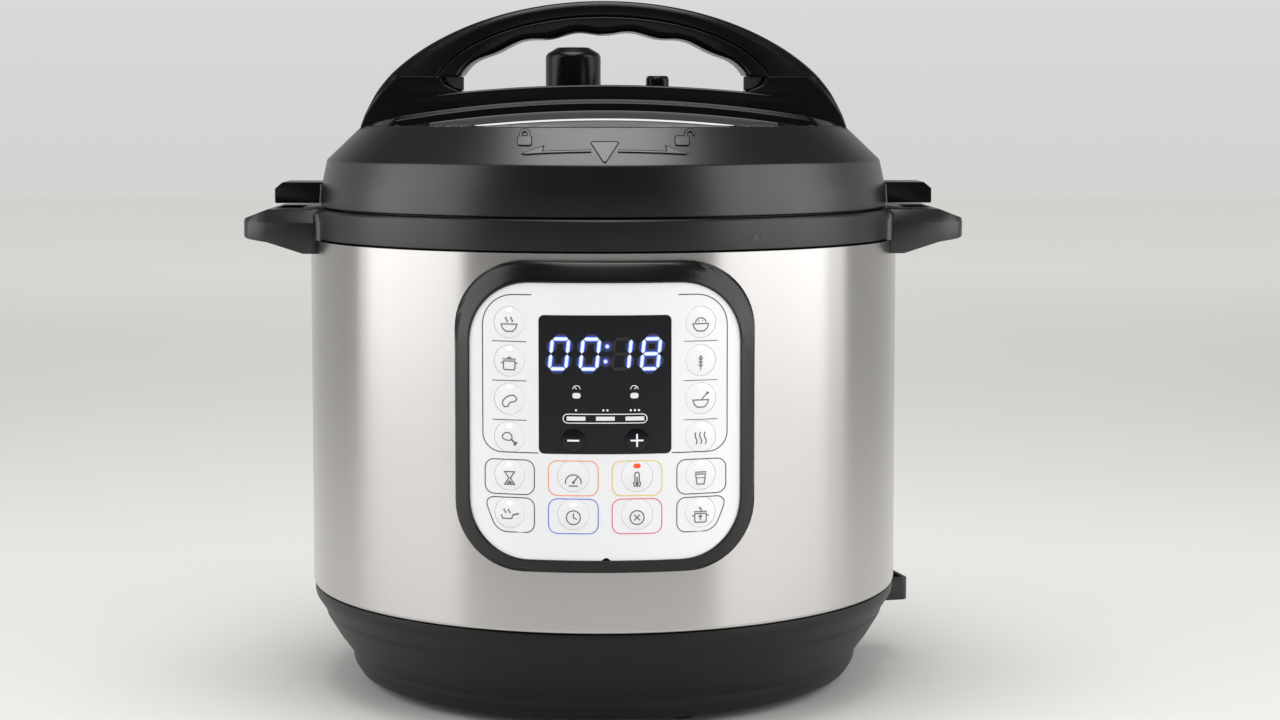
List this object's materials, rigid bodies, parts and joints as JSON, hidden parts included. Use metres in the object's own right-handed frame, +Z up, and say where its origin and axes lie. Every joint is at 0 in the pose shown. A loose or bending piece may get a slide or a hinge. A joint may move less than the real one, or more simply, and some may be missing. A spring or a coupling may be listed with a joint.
{
  "type": "electric pressure cooker",
  "caption": "Electric pressure cooker with a lift-out pot, a turning locking lid, an arched lid handle, side handles and a curved key panel.",
  "frame": {"origin": "on the body's axis at floor level, under the middle of the housing", "axes": "+Z up, the panel faces -Y, the side handles lie along X"},
  "size_m": [0.34, 0.294, 0.317],
  "materials": {
    "satin_black": "satin black moulding",
    "gloss_black": "gloss black moulding",
    "brushed_sleeve": "brushed stainless steel, brushed around",
    "plain_steel": "drawn stainless steel",
    "zinc_steel": "zinc-plated steel",
    "cast_aluminium": "cast, machined face",
    "aluminium_cap": "satin",
    "foot_rubber": "matt rubber",
    "silicone": "milky silicone",
    "face_white": "silver-white satin film",
    "window_black": "smoked gloss window",
    "module_black": "black module",
    "board_green": "coated circuit board",
    "pin_brass": "plain",
    "cup_smoke": "smoked clear plastic"
  },
  "bodies": {
    "housing": {"base_housing": "satin_black", "bottom_plate": "zinc_steel", "rubber_feet": "foot_rubber", "housing_screws": "zinc_steel", "outer_shell": "brushed_sleeve", "rim_collar": "satin_black", "side_handle_left": "satin_black", "side_handle_right": "satin_black", "liner_bowl": "plain_steel", "bayonet_ring": "plain_steel", "heating_plate": "cast_aluminium", "sensor_bracket": "zinc_steel", "sensor_spring": "zinc_steel", "panel_bezel": "gloss_black", "panel_overlay": "face_white", "display_window": "window_black", "display_module": "module_black", "control_board": "board_green", "power_board": "board_green", "power_inlet": "satin_black", "inlet_pins": "pin_brass", "collector_bracket": "satin_black"},
    "sensor": {"sensor_cap": "aluminium_cap"},
    "cup": {"condensation_cup": "cup_smoke"},
    "pot": {"inner_pot": "plain_steel"},
    "seal": {"sealing_ring": "silicone"},
    "lid": {"pressure_lid": "plain_steel", "seal_rack": "zinc_steel", "lid_cover": "satin_black", "lid_fin_left": "gloss_black", "lid_fin_right": "gloss_black", "handle_bridge": "gloss_black", "handle_arch": "gloss_black", "handle_grip": "gloss_black", "lid_screws": "zinc_steel", "steam_pipe": "plain_steel", "anti_block_shield": "plain_steel", "float_guard": "gloss_black"},
    "steam_knob": {"steam_handle": "gloss_black", "release_weight": "plain_steel"},
    "float": {"float_pin": "aluminium_cap", "float_seal": "silicone"},
    "key_left_1": {"key_left_1": "face_white"},
    "key_left_2": {"key_left_2": "face_white"},
    "key_left_3": {"key_left_3": "face_white"},
    "key_left_4": {"key_left_4": "face_white"},
    "key_right_1": {"key_right_1": "face_white"},
    "key_right_2": {"key_right_2": "face_white"},
    "key_right_3": {"key_right_3": "face_white"},
    "key_right_4": {"key_right_4": "face_white"},
    "key_lower_1": {"key_lower_1": "face_white"},
    "key_lower_2": {"key_lower_2": "face_white"},
    "key_lower_3": {"key_lower_3": "face_white"},
    "key_lower_4": {"key_lower_4": "face_white"},
    "key_lower_5": {"key_lower_5": "face_white"},
    "key_lower_6": {"key_lower_6": "face_white"},
    "key_lower_7": {"key_lower_7": "face_white"},
    "key_lower_8": {"key_lower_8": "face_white"},
    "key_minus": {"key_minus": "window_black"},
    "key_plus": {"key_plus": "window_black"}
  },
  "joints": [
    {"name": "pot_lift", "type": "slide", "parent": "housing", "child": "pot", "axis": [0, 0, 1], "range_m": [0, 0.17]},
    {"name": "lid_lift", "type": "slide", "parent": "pot", "child": "seal", "axis": [0, 0, 1], "range_m": [0, 0.12]},
    {"name": "lid_turn", "type": "hinge", "parent": "seal", "child": "lid", "pos_m": [0, 0, 0.24], "axis": [0, 0, 1], "range_deg": [0, 30]},
    {"name": "steam_turn", "type": "hinge", "parent": "lid", "child": "steam_knob", "pos_m": [-0.0149, 0.056, 0.28], "axis": [0, 0, 1], "range_deg": [0, 60]},
    {"name": "float_rise", "type": "slide", "parent": "lid", "child": "float", "axis": [0, 0, 1], "range_m": [0, 0.005]},
    {"name": "sensor_press", "type": "slide", "parent": "housing", "child": "sensor", "axis": [0, 0, 1], "range_m": [-0.003, 0], "stiffness_N_per_m": 400, "deforming": ["sensor_spring"]},
    {"name": "cup_slide", "type": "slide", "parent": "housing", "child": "cup", "axis": [0, 1, 0], "range_m": [0, 0.04]},
    {"name": "key_left_1_press", "type": "slide", "parent": "housing", "child": "key_left_1", "axis": [0.2786, 0.9604, 0], "range_m": [0, 0.0005], "stiffness_N_per_m": 300},
    {"name": "key_left_2_press", "type": "slide", "parent": "housing", "child": "key_left_2", "axis": [0.2786, 0.9604, 0], "range_m": [0, 0.0005], "stiffness_N_per_m": 300},
    {"name": "key_left_3_press", "type": "slide", "parent": "housing", "child": "key_left_3", "axis": [0.2786, 0.9604, 0], "range_m": [0, 0.0005], "stiffness_N_per_m": 300},
    {"name": "key_left_4_press", "type": "slide", "parent": "housing", "child": "key_left_4", "axis": [0.2786, 0.9604, 0], "range_m": [0, 0.0005], "stiffness_N_per_m": 300},
    {"name": "key_right_1_press", "type": "slide", "parent": "housing", "child": "key_right_1", "axis": [-0.2786, 0.9604, 0], "range_m": [0, 0.0005], "stiffness_N_per_m": 300},
    {"name": "key_right_2_press", "type": "slide", "parent": "housing", "child": "key_right_2", "axis": [-0.2786, 0.9604, 0], "range_m": [0, 0.0005], "stiffness_N_per_m": 300},
    {"name": "key_right_3_press", "type": "slide", "parent": "housing", "child": "key_right_3", "axis": [-0.2786, 0.9604, 0], "range_m": [0, 0.0005], "stiffness_N_per_m": 300},
    {"name": "key_right_4_press", "type": "slide", "parent": "housing", "child": "key_right_4", "axis": [-0.2786, 0.9604, 0], "range_m": [0, 0.0005], "stiffness_N_per_m": 300},
    {"name": "key_lower_1_press", "type": "slide", "parent": "housing", "child": "key_lower_1", "axis": [0.2786, 0.9604, 0], "range_m": [0, 0.0005], "stiffness_N_per_m": 300},
    {"name": "key_lower_2_press", "type": "slide", "parent": "housing", "child": "key_lower_2", "axis": [0.0926, 0.9957, 0], "range_m": [0, 0.0005], "stiffness_N_per_m": 300},
    {"name": "key_lower_3_press", "type": "slide", "parent": "housing", "child": "key_lower_3", "axis": [-0.0926, 0.9957, 0], "range_m": [0, 0.0005], "stiffness_N_per_m": 300},
    {"name": "key_lower_4_press", "type": "slide", "parent": "housing", "child": "key_lower_4", "axis": [-0.2786, 0.9604, 0], "range_m": [0, 0.0005], "stiffness_N_per_m": 300},
    {"name": "key_lower_5_press", "type": "slide", "parent": "housing", "child": "key_lower_5", "axis": [0.2786, 0.9604, 0], "range_m": [0, 0.0005], "stiffness_N_per_m": 300},
    {"name": "key_lower_6_press", "type": "slide", "parent": "housing", "child": "key_lower_6", "axis": [0.0926, 0.9957, 0], "range_m": [0, 0.0005], "stiffness_N_per_m": 300},
    {"name": "key_lower_7_press", "type": "slide", "parent": "housing", "child": "key_lower_7", "axis": [-0.0926, 0.9957, 0], "range_m": [0, 0.0005], "stiffness_N_per_m": 300},
    {"name": "key_lower_8_press", "type": "slide", "parent": "housing", "child": "key_lower_8", "axis": [-0.2786, 0.9604, 0], "range_m": [0, 0.0005], "stiffness_N_per_m": 300},
    {"name": "key_minus_press", "type": "slide", "parent": "housing", "child": "key_minus", "axis": [0.0926, 0.9957, 0], "range_m": [0, 0.0005], "stiffness_N_per_m": 300},
    {"name": "key_plus_press", "type": "slide", "parent": "housing", "child": "key_plus", "axis": [-0.0926, 0.9957, 0], "range_m": [0, 0.0005], "stiffness_N_per_m": 300}
  ]
}
